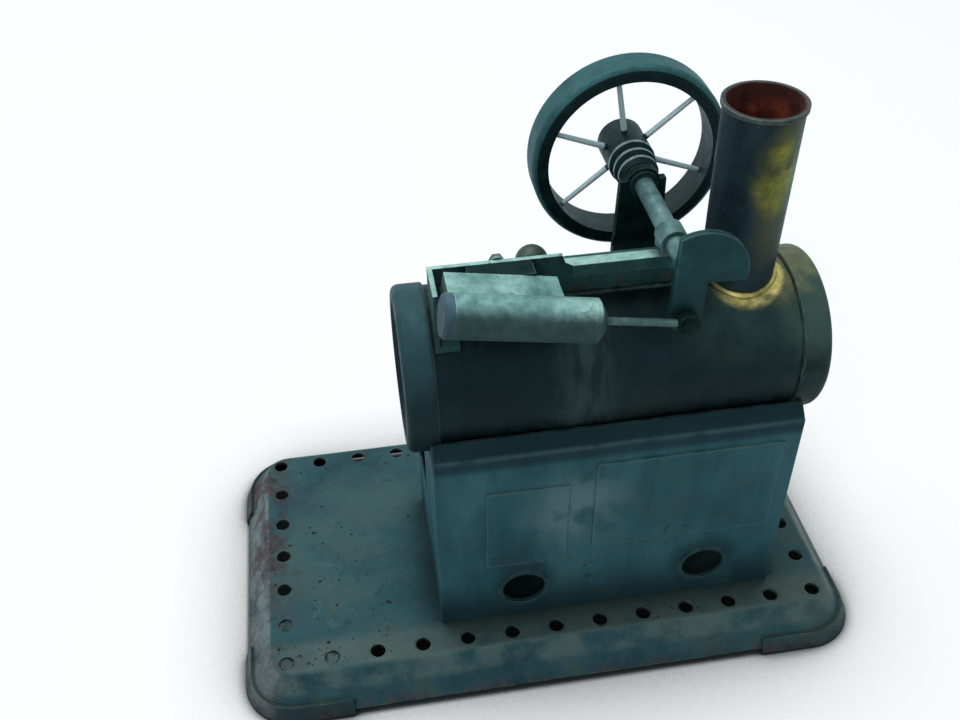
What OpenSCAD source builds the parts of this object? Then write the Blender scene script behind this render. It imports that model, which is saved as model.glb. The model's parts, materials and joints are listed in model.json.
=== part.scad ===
// Toy stationary steam engine: a pressed base plate, a sheet firebox, a horizontal boiler,
// and an oscillating cylinder that drives an overhead crankshaft with a spoked flywheel.
// Origin: centre of the base's footprint, on the floor. +X to the chimney, +Y to the flywheel, +Z up.

/* [Base plate] */
// Spacing of the holes round the plate's edge
hole_pitch = 12.7; // [11:0.1:14]
// Number of holes along each long side
holes_long = 13; // [11:1:15]
// Number of holes along each short side
holes_short = 7; // [6:1:8]
// Diameter of the holes
hole_d = 4.2; // [3.5:0.1:5]
// From the outer holes' centres to the plate's short edge
margin_x = 5.8; // [5:0.1:8]
// From the outer holes' centres to the plate's long edge
margin_y = 4.9; // [4.5:0.1:8]
// Corner radius of the flat plate
plate_corner = 8; // [6:0.5:14]
// Height of the plate's top above the floor
base_h = 12; // [9:0.5:16]
// Thickness of the plate's sheet
base_t = 1; // [0.8:0.1:1.4]
// Radius of the bend between plate and skirt
base_bend = 2.4; // [1.8:0.1:3]
// How far the skirt spreads outwards
skirt_flare = 6; // [4:0.5:8]
// Gap between the skirt's lower edge and the floor
skirt_gap = 2; // [1:0.5:3]
// Length of a corner foot along the long side
foot_long = 30; // [24:1:40]
// Length of a corner foot along the short side
foot_short = 24; // [20:1:30]
// How far a foot stands out from the skirt
foot_proud = 0.9; // [0.4:0.1:1.6]
// Width of a foot's flat underside
foot_w = 2.2; // [1.8:0.1:3]
// Height of a foot
foot_h = 5; // [4:0.5:7]

/* [Firebox] */
// Length of the firebox
fire_l = 96.3; // [90:0.5:104]
// Width of the firebox
fire_w = 48; // [46:0.5:56]
// Height of the upright part of its walls
fire_h = 64; // [58:1:65]
// Height of the part above that leans in to the boiler
fire_lean_h = 3.5; // [2:0.1:5]
// Place of the firebox's middle along the base
fire_x = 16.2; // [10:0.5:20]
// Thickness of the firebox's sheet
fire_t = 0.8; // [0.6:0.1:1.2]
// Diameter of the air vents
vent_d = 12.2; // [10:0.2:14]
// Distance between the two air vents
vent_gap = 51.8; // [44:0.5:60]
// Place of the vents' middle, from the firebox's middle
vent_shift = 1.3; // [-4:0.1:4]
// Height of the vents' middle above the plate
vent_h = 11.3; // [10:0.1:14]
// Width of the pressed ring round a vent
vent_ring = 1.1; // [0.8:0.1:2]
// How far pressed rings and panels stand out
press_h = 0.5; // [0.3:0.1:0.8]
// Width of the left pressed panel
panel_left_w = 22; // [16:0.5:24]
// From the firebox's left end to the left panel
panel_left_in = 13; // [8:0.5:15]
// Height of the left panel's lower edge above the plate
panel_left_low = 22.4; // [20:0.2:30]
// Height of the left panel's upper edge above the plate
panel_left_high = 51.4; // [45:0.2:58]
// Width of the right pressed panel
panel_right_w = 50; // [40:0.5:52]
// From the right panel to the firebox's right end
panel_right_in = 4.3; // [3:0.1:6]
// Height of the right panel's lower edge above the plate
panel_right_low = 25.6; // [21:0.2:30]
// Height of the right panel's upper edge above the plate
panel_right_high = 57.6; // [45:0.2:58]
// Width of the slot in the left end
slot_w = 20; // [12:0.5:21]
// Height of the slot in the left end
slot_h = 24; // [16:1:26]
// Height of the slot's lower end above the plate
slot_low = 22; // [16:1:24]
// From the slot to the left end's back edge
slot_back = 1.2; // [0.8:0.1:4]
// Width of the burner's opening in the right end
door_w = 30; // [22:1:36]
// Height of the burner's opening
door_h = 22; // [16:1:30]

/* [Boiler] */
// Outer diameter of the barrel
barrel_d = 41.6; // [38:0.2:44]
// Thickness of the barrel's sheet
barrel_t = 0.8; // [0.6:0.1:1.2]
// How far the boiler stands out past the firebox at each end
boiler_over = 5.4; // [4:0.1:8]
// Height of the boiler's middle above the plate
boiler_h = 76.2; // [75:0.1:79]
// Place of the boiler and firebox across the base
boiler_y = -8; // [-12:0.5:-4]
// Width of a cap's rim
cap_w = 7.6; // [6:0.2:10]
// Thickness of a cap's sheet
cap_t = 0.75; // [0.6:0.05:1]
// Radius of a cap's outer edge
cap_edge = 2; // [1.2:0.1:3]
// How deep a cap's middle is pressed in
cap_dish = 1.2; // [0.6:0.1:2]
// Width of the flat ring between a cap's edge and its middle
cap_flat = 1.6; // [1:0.1:3]

/* [Chimney] */
// Distance from the boiler's right end to the chimney
chimney_in = 20.3; // [18:0.1:24]
// Outer diameter at the foot
chimney_d = 17.7; // [15:0.1:19]
// Outer diameter at the top
chimney_top_d = 19; // [16:0.1:21]
// Height of the chimney's top above the boiler's top
chimney_up = 46; // [30:1:60]
// Thickness of the chimney's sheet
chimney_t = 0.7; // [0.5:0.1:1]
// Thickness of the ring round the chimney's top
lip_t = 0.5; // [0.4:0.1:1.2]
// Height of the ring round the chimney's top
lip_h = 1; // [0.8:0.1:3]

/* [Engine frame] */
// Height of the frame's top above the boiler's top
frame_up = 11.5; // [11:0.1:13]
// Thickness of the frame's sheet
frame_t = 1.2; // [1:0.1:1.6]
// From the boiler's middle plane to the frame's upright plate
frame_y = 3.2; // [2:0.1:5]
// From the boiler's left end to the frame's left end
frame_in = 8.35; // [8:0.05:10]
// Length of the frame to the right of the shaft
frame_right = 8; // [7:0.2:9]
// Length of the shelf to the left of the shaft
shelf_left = 26; // [20:0.5:27]
// How far the shelf reaches forward of the upright plate
shelf_w = 4.4; // [4:0.1:5.4]
// Height of the shelf's turned-down lip
shelf_lip = 3.4; // [2:0.2:5]
// Outer radius of the bend between the upright plate and the shelf
shelf_bend = 2; // [1.4:0.1:2.4]
// How much of the shelf's left corner is cut off
shelf_corner = 1.6; // [0.8:0.1:2]
// How far the left end wall reaches forward
end_wall_w = 12; // [8:0.5:12.4]
// Length of the foot that the end wall has on the boiler
end_foot = 6; // [4:0.5:7]
// Diameter of the shaft
shaft_d = 5; // [4.6:0.05:5.4]
// From the cylinder's pivot to the shaft, along the boiler
shaft_reach = 41.6; // [40.6:0.1:44]
// Height of the shaft's middle above the frame's top
shaft_up = 3.2; // [2.9:0.1:4.4]
// Outer radius of the front bearing
bearing_r = 3.5; // [3.4:0.1:4.2]
// Width of the front bearing's foot
bearing_foot = 6.2; // [5.8:0.1:6.8]
// Wall of a bearing bush
bush_t = 0.8; // [0.6:0.1:1]
// Distance of the rear bearing behind the boiler's middle plane
rear_y = 20; // [19:0.1:20.4]
// Thickness of the rear bearing's plate
rear_t = 2.2; // [2:0.1:3]
// Width of the rear bearing's plate at its shoulders
rear_w = 12; // [11:0.2:15]
// Height of the plate's shoulders above the shaft's middle
rear_up = 1.1; // [0:0.1:2]
// Radius of the round boss at the plate's top
rear_boss_r = 4.5; // [4.4:0.1:5]
// How far each side of the rear bearing's plate spreads downwards
rear_spread = 1; // [0:0.2:4]
// Height of the rear bearing's foot below the boiler's top
rear_foot_down = 4.6; // [3.6:0.1:6]
// Radius of the hollow between the rear bearing's plate and its foot
rear_foot_r = 3.4; // [2:0.1:4]

/* [Crank and flywheel] */
// Throw of the crank
crank_r = 11.8; // [10:0.1:12]
// Angle of the crank pin to the left of straight down, at rest
crank_lean = 2; // [0:1:8]
// Radius of the crank's balance weight
weight_r = 11.5; // [10:0.1:13]
// How far the weight's middle lies to the chimney's side of the shaft
weight_side = 1.9; // [0:0.1:2]
// Width of the crank's arm
arm_w = 8; // [6:0.2:9]
// Thickness of the crank
web_t = 1.6; // [1.2:0.1:2.4]
// Thickness of the crank in front of the shaft's end
web_skin = 0.6; // [0.4:0.1:1]
// Length of the boss behind the crank
boss_l = 3; // [1.5:0.1:4]
// Diameter of the crank pin
pin_d = 3; // [2:0.1:3.4]
// Length of the crank pin that stands out of the crank
pin_show = 0.8; // [0.6:0.1:1.5]
// Diameter of the flywheel
wheel_d = 52.8; // [46:0.2:56]
// Width of the flywheel's rim
wheel_w = 9.6; // [7:0.2:11]
// Depth of the flywheel's rim
rim_t = 4.2; // [3:0.2:6]
// Radius of the rim's outer edges
rim_edge = 1.8; // [0.6:0.1:2.4]
// Diameter of a spoke at the hub
spoke_d = 1.7; // [1.4:0.1:3]
// Diameter of a spoke at the rim
spoke_end_d = 1.3; // [1:0.1:2.4]
// Number of spokes
spokes = 6; // [4:1:8]
// Angle of the first spoke above the horizontal, at rest
spoke_turn = 40; // [0:5:60]
// Diameter of the flywheel's hub
hub_d = 12.4; // [11.4:0.2:14]
// How far the hub stands out behind the rim
hub_back = 2.2; // [0.5:0.1:4]
// Width of the grooved pulley
pulley_w = 8.4; // [7:0.1:10]
// Diameter of the pulley's middle flange
pulley_d = 11.4; // [10.6:0.2:12]
// Diameter of the pulley's front flange
pulley_front_d = 10.6; // [9:0.2:11]
// Depth of a pulley groove below its lower side
groove = 1; // [0.5:0.1:1.4]
// Length of the shaft that shows behind the hub
shaft_end = 2; // [1:0.5:4]

/* [Cylinder] */
// Outer diameter of the cylinder
cyl_d = 10.5; // [9:0.1:10.8]
// Bore of the cylinder
cyl_bore = 7.9; // [6:0.1:8]
// Distance of the cylinder's axis in front of the boiler's middle plane
cyl_y = 23; // [22.6:0.1:24]
// From the pivot back to the cylinder's closed end
cyl_back = 16.5; // [15.6:0.1:17]
// From the pivot forward to the cylinder's open end
cyl_front = 21; // [20.6:0.1:22]
// Thickness of the closed end's cover
cover_t = 2.4; // [1.6:0.1:3]
// Length of the rod's guide at the open end
gland_l = 2.2; // [1.6:0.1:3]
// Diameter of the rod's guide at its front
gland_d = 6.5; // [5:0.1:8]
// From the frame's left end to the pivot
pivot_in = 17; // [16.4:0.1:18]
// From the frame's top down to the pivot
pivot_down = 1.4; // [1.3:0.1:1.7]
// Diameter of the pivot pin
pivot_d = 2; // [1.6:0.1:2]
// Length of the port block behind the pivot
block_back = 14.4; // [10:0.1:14.6]
// Length of the port block in front of the pivot
block_front = 12.8; // [8:0.1:14]
// Height of the port block above the pivot
block_up = 2.1; // [1.6:0.1:4]
// Height of the port block below the pivot
block_down = 5; // [3:0.1:5]
// Thickness of the port block from the cylinder's axis back
block_y = 13.9; // [13:0.1:14]
// Length of the fixed steam block
steam_l = 16; // [12:0.5:18]
// Depth of the fixed steam block below the frame's top
steam_h = 9; // [7:0.2:10]
// Thickness of the washer behind the frame
washer_t = 0.8; // [0.5:0.1:2]
// Outer diameter of the washer
washer_d = 3.8; // [3.2:0.1:4.4]
// Width of the nut across its corners
nut_d = 3.8; // [3.4:0.1:4.6]
// Height of the nut
nut_h = 1.2; // [1:0.1:2]
// Diameter of the piston rod
rod_d = 2; // [1.6:0.1:2.4]
// Length of the piston
piston_l = 6; // [4:0.2:7]
// Place of the piston's middle in front of the pivot, at rest
piston_u = 2.3; // [1:0.1:3.4]
// Diameter of the rod's eye
eye_d = 5.6; // [4.4:0.1:6]
// Thickness of the rod's eye
eye_t = 2; // [1.6:0.1:2.6]
// Height of the raised round on the front of the rod's eye
eye_head = 0.6; // [0.4:0.1:1]

/* [Safety valve] */
// From the cylinder's pivot to the safety valve, along the boiler
valve_off = 9.4; // [7:0.1:12]
// Distance of the safety valve behind the boiler's middle plane
valve_back = 3.2; // [3:0.1:6]
// Diameter of the safety valve's body
valve_d = 5.6; // [5:0.1:7]
// Height of the safety valve's body
valve_h = 5; // [4:0.2:9]
// Height of the washer under the safety valve
washer_h = 1.4; // [1:0.1:2]
// Diameter of the safety valve's domed cap
valve_cap_d = 8.2; // [7:0.1:8.4]
// Height of the cap's straight part
valve_cap_h = 1.4; // [1:0.1:3]

/* [Clearances] */
// Gap round a turning or sliding fit, on the radius
run_gap = 0.05; // [0.02:0.01:0.08]
// Gap round a fixed fit, on the radius
seat_gap = 0.05; // [0.02:0.01:0.1]
// Gap between parts that pass each other
pass_gap = 0.3; // [0.2:0.05:0.4]
// Gap between the port block and the fixed steam block
port_gap = 0.1; // [0.05:0.05:0.2]

/* [Hidden] */
// Smoothness of round shapes
$fn = 64;
// A small extra length that carries a cut past a face
over = 1;

// Half sizes of the hole grid and of the flat plate
grid_x = hole_pitch * (holes_long - 1) / 2;
grid_y = hole_pitch * (holes_short - 1) / 2;
plate_x = grid_x + margin_x;
plate_y = grid_y + margin_y;
// Slope of the skirt from the upright
skirt_slope = atan2(skirt_flare, base_h - skirt_gap);
// Steps of the rounded bend
bend_steps = 5;

// Heights above the floor
boiler_z = base_h + boiler_h;
barrel_r = barrel_d / 2;
frame_z = boiler_z + barrel_r + frame_up;
shaft_z = frame_z + shaft_up;
pivot_z = frame_z - pivot_down;
chimney_z = boiler_z + barrel_r + chimney_up;

// Places along the base
cap_r = barrel_r + seat_gap + cap_t;
boiler_left = fire_x - fire_l / 2 - boiler_over;
boiler_right = fire_x + fire_l / 2 + boiler_over;
chimney_x = boiler_right - chimney_in;
frame_left = boiler_left + frame_in;
pivot_x = frame_left + pivot_in;
shaft_x = pivot_x + shaft_reach;
valve_x = pivot_x + valve_off;

// The firebox walls slope in above the shoulder until they meet the boiler's caps
cradle_r = cap_r + seat_gap;
cradle_drop = boiler_h - fire_h - fire_lean_h;
cradle_y = sqrt(cradle_r * cradle_r - cradle_drop * cradle_drop);

// Engine places across the base
plate_back_y = boiler_y - frame_y + frame_t;
plate_front_y = boiler_y - frame_y;
shelf_front_y = plate_front_y - shelf_w;
cyl_axis_y = boiler_y - cyl_y;
port_y = cyl_axis_y + block_y;
rear_front_y = boiler_y + rear_y;
rear_back_y = rear_front_y + rear_t;
pulley_front_y = rear_back_y + bush_t + pass_gap;
wheel_front_y = pulley_front_y + pulley_w;
wheel_back_y = wheel_front_y + wheel_w;
hub_back_y = wheel_back_y + hub_back;

// Crank pin at rest, and the cylinder's tilt that points its rod at the pin
pin_x = shaft_x - crank_r * sin(crank_lean);
pin_z = shaft_z - crank_r * cos(crank_lean);
cyl_tilt = atan2(pivot_z - pin_z, pin_x - pivot_x);
rod_reach = norm([pin_x - pivot_x, pivot_z - pin_z]);
eye_back_y = cyl_axis_y + eye_t / 2;
pin_tip_y = eye_back_y + pass_gap;
web_front_y = pin_tip_y + pin_show;
web_back_y = web_front_y + web_t;
shaft_front_y = web_front_y + web_skin + seat_gap;

shaft_r = shaft_d / 2;
bush_r = shaft_r + run_gap + bush_t;
cyl_r = cyl_d / 2;

// Points of an arc about a centre
function arc(c, r, a0, a1, n) =
    [for (i = [0:n]) c + r * [cos(a0 + (a1 - a0) * i / n), sin(a0 + (a1 - a0) * i / n)]];

// A profile swept round the plate's outline, with x = 0 on the flat plate's edge.
// run_x and run_y are how much of each straight side it covers, from the corners.
module corner_sweep(run_x, run_y) {
    for (sx = [-1, 1], sy = [-1, 1])
        scale([sx, sy, 1]) translate([plate_x - plate_corner, plate_y - plate_corner, 0]) {
            rotate_extrude(angle = 90) translate([plate_corner, 0]) children();
            if (run_y > 0)
                rotate([90, 0, 0]) linear_extrude(run_y) translate([plate_corner, 0]) children();
            if (run_x > 0)
                rotate([90, 0, -90]) linear_extrude(run_x) mirror([1, 0]) translate([plate_corner, 0]) children();
        }
}

module rounded_plate(x, y, r) {
    square([2 * x, 2 * (y - r)], center = true);
    square([2 * (x - r), 2 * y], center = true);
    for (sx = [-1, 1], sy = [-1, 1])
        translate([sx * (x - r), sy * (y - r)]) circle(r);
}

// Cross-section of the bent skirt
module skirt_profile() {
    c = [-base_bend, base_h - base_bend];
    inset = base_t / cos(skirt_slope);
    polygon(concat(
        arc(c, base_bend, 90, skirt_slope, bend_steps),
        [[skirt_flare, skirt_gap], [skirt_flare - inset, skirt_gap]],
        arc(c, base_bend - base_t, skirt_slope, 90, bend_steps)));
}

// Cross-section of a foot, which widens the skirt and reaches the floor
module foot_profile() {
    out = skirt_flare + foot_proud;
    lean = (foot_h - skirt_gap) * tan(skirt_slope);
    polygon([[out - foot_w, 0], [out, 0], [out, foot_proud],
        [out - lean, foot_h], [out - lean - foot_w, foot_h - foot_proud]]);
}

module ring_holes() {
    for (i = [0:holes_long - 1], j = [0:holes_short - 1])
        if (i == 0 || i == holes_long - 1 || j == 0 || j == holes_short - 1)
            translate([i * hole_pitch - grid_x, j * hole_pitch - grid_y, base_h - base_t - over])
                cylinder(d = hole_d, h = base_t + 2 * over);
}

module base_plate() {
    color("#5c6a61")
    difference() {
        union() {
            translate([0, 0, base_h - base_t]) linear_extrude(base_t)
                rounded_plate(plate_x - base_bend, plate_y - base_bend, plate_corner - base_bend);
            corner_sweep(plate_x - plate_corner, plate_y - plate_corner) skirt_profile();
            corner_sweep(foot_long - plate_corner - skirt_flare - foot_proud,
                foot_short - plate_corner - skirt_flare - foot_proud) foot_profile();
        }
        ring_holes();
    }
}

// Half cross-section of the firebox, d inside the sheet's outer face, up to where it meets the boiler
function fire_side(d) = [
    [fire_w / 2 - d, 0],
    [fire_w / 2 - d, fire_h],
    [cradle_y + fire_t - d, boiler_h - cradle_drop]];

function flipped(points) = [for (i = [len(points) - 1:-1:0]) [-points[i][0], points[i][1]]];

// The front wall stands with its outer face forward. The back wall is the same, turned round.
module long_wall() {
    difference() {
        union() {
            translate([-fire_l / 2, 0, base_h]) rotate([90, 0, 90]) linear_extrude(fire_l)
                polygon(concat(flipped(fire_side(0)), [for (p = fire_side(fire_t)) [-p[0], p[1]]]));
            for (s = [-1, 1])
                vent_at(s) cylinder(d = vent_d + 2 * vent_ring, h = fire_t + press_h);
            panel(panel_left_in - fire_l / 2, panel_left_w, panel_left_low, panel_left_high);
            panel(fire_l / 2 - panel_right_in - panel_right_w, panel_right_w, panel_right_low, panel_right_high);
        }
        for (s = [-1, 1])
            vent_at(s) translate([0, 0, -over]) cylinder(d = vent_d, h = fire_t + press_h + 2 * over);
    }
}

module vent_at(s) {
    translate([vent_shift + s * vent_gap / 2, -fire_w / 2 + fire_t, base_h + vent_h])
        rotate([90, 0, 0]) children();
}

module panel(x, w, low, high) {
    translate([x, -fire_w / 2 - press_h, base_h + low]) cube([w, press_h + fire_t / 2, high - low]);
}

module firebox_front() {
    color("#2c4a4c") translate([fire_x, boiler_y, 0]) long_wall();
}

module firebox_back() {
    color("#2c4a4c") translate([fire_x, boiler_y, 0]) mirror([0, 1, 0]) long_wall();
}

// An end wall fits between the long walls and has a cradle for the boiler
module end_wall(x) {
    translate([x, boiler_y, base_h])
        rotate([90, 0, 90]) linear_extrude(fire_t) difference() {
            polygon(concat(fire_side(fire_t), flipped(fire_side(fire_t))));
            translate([0, boiler_h]) circle(cradle_r);
        }
}

module firebox_left_end() {
    color("#35545a") difference() {
        end_wall(fire_x - fire_l / 2);
        translate([
            fire_x - fire_l / 2 - over,
            boiler_y + fire_w / 2 - fire_t - slot_back - slot_w,
            base_h + slot_low,
        ]) cube([fire_t + 2 * over, slot_w, slot_h]);
    }
}

module firebox_right_end() {
    color("#35545a") difference() {
        end_wall(fire_x + fire_l / 2 - fire_t);
        translate([fire_x + fire_l / 2 - fire_t - over, boiler_y - door_w / 2, base_h - over])
            cube([fire_t + 2 * over, door_w, door_h + over]);
    }
}

module along_x(x) {
    translate([x, boiler_y, boiler_z]) rotate([0, 90, 0]) children();
}

module boiler_barrel() {
    color("#2b2f2e") along_x(boiler_left + cap_t + cap_dish + seat_gap) difference() {
        l = boiler_right - boiler_left - 2 * (cap_t + cap_dish + seat_gap);
        cylinder(r = barrel_r, h = l);
        translate([0, 0, -over]) cylinder(r = barrel_r - barrel_t, h = l + 2 * over);
    }
}

// A cap's cross-section: rim, rounded edge and a middle that is pressed in
module cap_shape() {
    mouth = cap_r - cap_t;
    step = cap_r - cap_edge - cap_flat;
    rotate_extrude() polygon(concat(
        [[0, cap_dish], [step - cap_dish, cap_dish], [step, 0]],
        arc([cap_r - cap_edge, cap_edge], cap_edge, -90, 0, bend_steps),
        [[cap_r, cap_w], [mouth, cap_w], [mouth, cap_t + cap_dish], [0, cap_t + cap_dish]]));
}

module boiler_left_cap() {
    color("#343a38") along_x(boiler_left) cap_shape();
}

module boiler_right_cap() {
    color("#6b6440") along_x(boiler_right) rotate([0, 180, 0]) cap_shape();
}

module chimney_cone(inset, extra) {
    h = chimney_z - boiler_z;
    slope = (chimney_top_d - chimney_d) / 2 / h;
    translate([chimney_x, boiler_y, boiler_z - extra])
        cylinder(r1 = chimney_d / 2 - inset - slope * extra,
            r2 = chimney_top_d / 2 - inset + slope * extra, h = h + 2 * extra);
}

module chimney_tube() {
    color("#4f4a38") off_boiler() difference() {
        chimney_cone(0, 0);
        chimney_cone(chimney_t, over);
    }
}

module chimney_lip() {
    color("#a7a58c") translate([chimney_x, boiler_y, chimney_z - lip_h]) difference() {
        cylinder(r = chimney_top_d / 2 + lip_t, h = lip_h);
        translate([0, 0, -over]) cylinder(r = chimney_top_d / 2 + seat_gap / 2, h = lip_h + 2 * over);
    }
}

// Everything that stands on the boiler is cut to its round top
module off_boiler() {
    difference() {
        children();
        along_x(boiler_left) cylinder(r = barrel_r + seat_gap, h = boiler_right - boiler_left);
    }
}

module engine_frame() {
    right = shaft_x + frame_right;
    shelf_x = shaft_x - shelf_left;
    color("#1f4a38") difference() {
        union() {
            off_boiler() {
                translate([frame_left, plate_front_y, boiler_z])
                    cube([right - frame_left, frame_t, frame_z - boiler_z]);
                translate([frame_left, plate_back_y - end_wall_w, boiler_z])
                    cube([frame_t, end_wall_w, frame_z - boiler_z]);
            }
            translate([shelf_x, shelf_front_y, frame_z - frame_t])
                cube([right - shelf_x, shelf_w + frame_t, frame_t]);
            translate([shelf_x, shelf_front_y, frame_z - shelf_lip])
                cube([right - shelf_x, frame_t, shelf_lip]);
            end_wall_foot();
        }
        pivot_hole(run_gap);
        translate([shelf_x, plate_back_y, 0]) bend_cut(right - shelf_x + over);
        translate([shelf_x, shelf_front_y, frame_z - shelf_lip - over]) linear_extrude(shelf_lip + 2 * over)
            polygon([[-over, -over], [shelf_corner + over, -over], [-over, shelf_corner + over]]);
    }
}

// What is cut away to round the back edge of the frame's top
module bend_cut(l) {
    translate([0, -shelf_bend, frame_z - shelf_bend]) rotate([90, 0, 90]) linear_extrude(l) difference() {
        square(shelf_bend + over);
        circle(shelf_bend);
    }
}

// The end wall's foot is a strip that lies on the boiler
module end_wall_foot() {
    inner = barrel_r + seat_gap;
    intersection() {
        along_x(frame_left) difference() {
            cylinder(r = inner + frame_t, h = end_foot);
            translate([0, 0, -over]) cylinder(r = inner, h = end_foot + 2 * over);
        }
        translate([frame_left, plate_back_y - end_wall_w, boiler_z])
            cube([end_foot, end_wall_w / 2, barrel_r]);
    }
}

module pivot_hole(gap) {
    translate([pivot_x, plate_back_y + over, pivot_z]) rotate([90, 0, 0])
        cylinder(d = pivot_d + 2 * gap, h = plate_back_y - port_y + 2 * over);
}

// An upright bearing: a round top over a foot that widens downwards, front face at y
module bearing(y, t, top_r, up, half, spread, foot) {
    about_shaft(y + t) {
        cylinder(r = top_r, h = t);
        linear_extrude(t)
            polygon([[-half, up], [half, up], [half + spread, foot - shaft_z], [-half - spread, foot - shaft_z]]);
    }
}

module shaft_bore(r, y0, y1) {
    translate([shaft_x, y1 + over, shaft_z]) rotate([90, 0, 0]) cylinder(r = r, h = y1 - y0 + 2 * over);
}

// The front bearing is a sleeve whose foot stands on the frame's shelf
module front_bearing() {
    l = plate_back_y - shelf_front_y;
    color("#8f9c93") difference() {
        bearing(shelf_front_y, l, bearing_r, 0, bearing_foot / 2, 0, frame_z);
        shaft_bore(shaft_r + run_gap, shelf_front_y, plate_back_y);
        translate([shaft_x - shaft_d, shelf_front_y - over, frame_z - shaft_d])
            cube([2 * shaft_d, l + 2 * over, shaft_d]);
    }
}

module rear_bearing() {
    color("#1c3a2e") difference() {
        off_boiler() {
            bearing(rear_front_y, rear_t, rear_boss_r, rear_up, rear_w / 2, rear_spread, boiler_z);
            rear_foot();
        }
        shaft_bore(bush_r + seat_gap, rear_front_y, rear_back_y);
    }
}

// The rear bearing's foot reaches forward to the boiler's top, with a hollow up to the plate
module rear_foot() {
    top = boiler_z + barrel_r - rear_foot_down;
    half = rear_w / 2 + rear_spread;
    translate([shaft_x - half, rear_front_y, 0]) rotate([90, 0, 90]) linear_extrude(2 * half)
        polygon(concat([[rear_t / 2, boiler_z], [rear_t / 2, top + rear_foot_r]],
            arc([-rear_foot_r, top + rear_foot_r], rear_foot_r, 0, -90, bend_steps),
            [[-rear_y, top], [-rear_y, boiler_z]]));
}

// A bush with a flange at each side of the rear bearing's plate
module rear_bush() {
    color("#9a8a4a") difference() {
        union() {
            about_shaft(rear_back_y + bush_t) cylinder(r = bush_r, h = rear_t + 2 * bush_t);
            about_shaft(rear_back_y + bush_t) cylinder(r = bush_r + bush_t / 2, h = bush_t);
            about_shaft(rear_front_y) cylinder(r = bush_r + bush_t / 2, h = bush_t);
        }
        shaft_bore(shaft_r + run_gap, rear_front_y - bush_t, rear_back_y + bush_t);
    }
}

module steam_block() {
    color("#2b4a3c") difference() {
        translate([pivot_x - steam_l / 2, port_y + port_gap, frame_z - steam_h])
            cube([steam_l, plate_front_y - port_y - port_gap, steam_h]);
        pivot_hole(run_gap);
    }
}

module at_valve() {
    translate([valve_x, boiler_y + valve_back, boiler_z + barrel_r]) children();
}

module safety_valve_body() {
    color("#8a7c46") off_boiler() at_valve() {
        translate([0, 0, -over]) cylinder(d = valve_d, h = valve_h + over);
        translate([0, 0, -over]) cylinder(d = valve_cap_d, h = over + washer_h);
    }
}

module safety_valve_cap() {
    r = valve_cap_d / 2;
    color("#6f6c52") at_valve() translate([0, 0, valve_h]) {
        cylinder(r = r, h = valve_cap_h);
        translate([0, 0, valve_cap_h]) intersection() {
            sphere(r = r);
            cylinder(r = r, h = r);
        }
    }
}

// Everything that turns with the shaft is drawn from its back face forward
module about_shaft(y) {
    translate([shaft_x, y, shaft_z]) rotate([90, 0, 0]) children();
}

module crankshaft() {
    back = hub_back_y + shaft_end;
    color("#9aa5a2") about_shaft(back) cylinder(r = shaft_r, h = back - shaft_front_y);
}

// The crank leans with its pin to the left of straight down
module crank_at(y) {
    translate([shaft_x, y, shaft_z]) rotate([0, crank_lean, 0]) rotate([90, 0, 0]) children();
}

module crank_web() {
    hole = shaft_r + seat_gap / 2;
    color("#5d6b69") difference() {
        union() {
            crank_at(web_back_y) linear_extrude(web_t) {
                intersection() {
                    translate([weight_side, 0]) circle(weight_r);
                    translate([-arm_w / 2, -arm_w / 4]) square([arm_w + weight_r, 2 * weight_r]);
                }
                translate([-arm_w / 2, -crank_r]) square([arm_w, crank_r]);
                translate([0, -crank_r]) circle(arm_w / 2);
            }
            crank_at(web_back_y + boss_l) cylinder(r = bush_r + bush_t / 2, h = boss_l);
        }
        about_shaft(web_back_y + boss_l + over) cylinder(r = hole, h = web_t + boss_l + over - web_skin);
        crank_at(web_back_y + over) translate([0, -crank_r, 0])
            cylinder(d = pin_d + seat_gap, h = web_t + 2 * over);
    }
}

module crank_pin() {
    color("#9aa5a2") crank_at(web_back_y) translate([0, -crank_r, 0])
        cylinder(d = pin_d, h = web_back_y - pin_tip_y);
}

module flywheel() {
    rim_r = wheel_d / 2;
    color("#5a6560") difference() {
        union() {
            about_shaft(wheel_back_y) rotate_extrude() polygon(concat(
                [[rim_r - rim_t, wheel_w], [rim_r - rim_t, 0]],
                arc([rim_r - rim_edge, rim_edge], rim_edge, -90, 0, bend_steps),
                arc([rim_r - rim_edge, wheel_w - rim_edge], rim_edge, 0, 90, bend_steps)));
            about_shaft(hub_back_y) cylinder(d = hub_d, h = wheel_w + hub_back);
            about_shaft(wheel_back_y - wheel_w / 2)
                for (i = [0:spokes - 1])
                    rotate([0, 0, spoke_turn + i * 360 / spokes]) rotate([0, 90, 0])
                        translate([0, 0, hub_d / 4])
                            cylinder(d1 = spoke_d, d2 = spoke_end_d, h = rim_r - rim_t / 2 - hub_d / 4);
        }
        shaft_bore(shaft_r + seat_gap / 2, wheel_front_y, hub_back_y);
    }
}

// A pulley with a ring against the flywheel's hub and two flanges, with a groove before each
module drive_pulley() {
    ring_r = hub_d / 2;
    flange_r = pulley_d / 2;
    front_r = pulley_front_d / 2;
    step = pulley_w / 8;
    color("#6c7772") difference() {
        about_shaft(wheel_front_y) rotate_extrude() polygon([
            [0, 0], [ring_r, 0], [ring_r, step],
            [flange_r - groove, 1.5 * step], [flange_r - groove, 2.5 * step],
            [flange_r, 3 * step], [flange_r, 4 * step],
            [front_r - groove, 4.5 * step], [front_r - groove, 5.5 * step],
            [front_r, 6 * step], [front_r, 7 * step],
            [front_r - groove, 7.5 * step], [front_r - groove, pulley_w], [0, pulley_w]]);
        shaft_bore(shaft_r + seat_gap / 2, pulley_front_y, wheel_front_y);
    }
}

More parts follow.
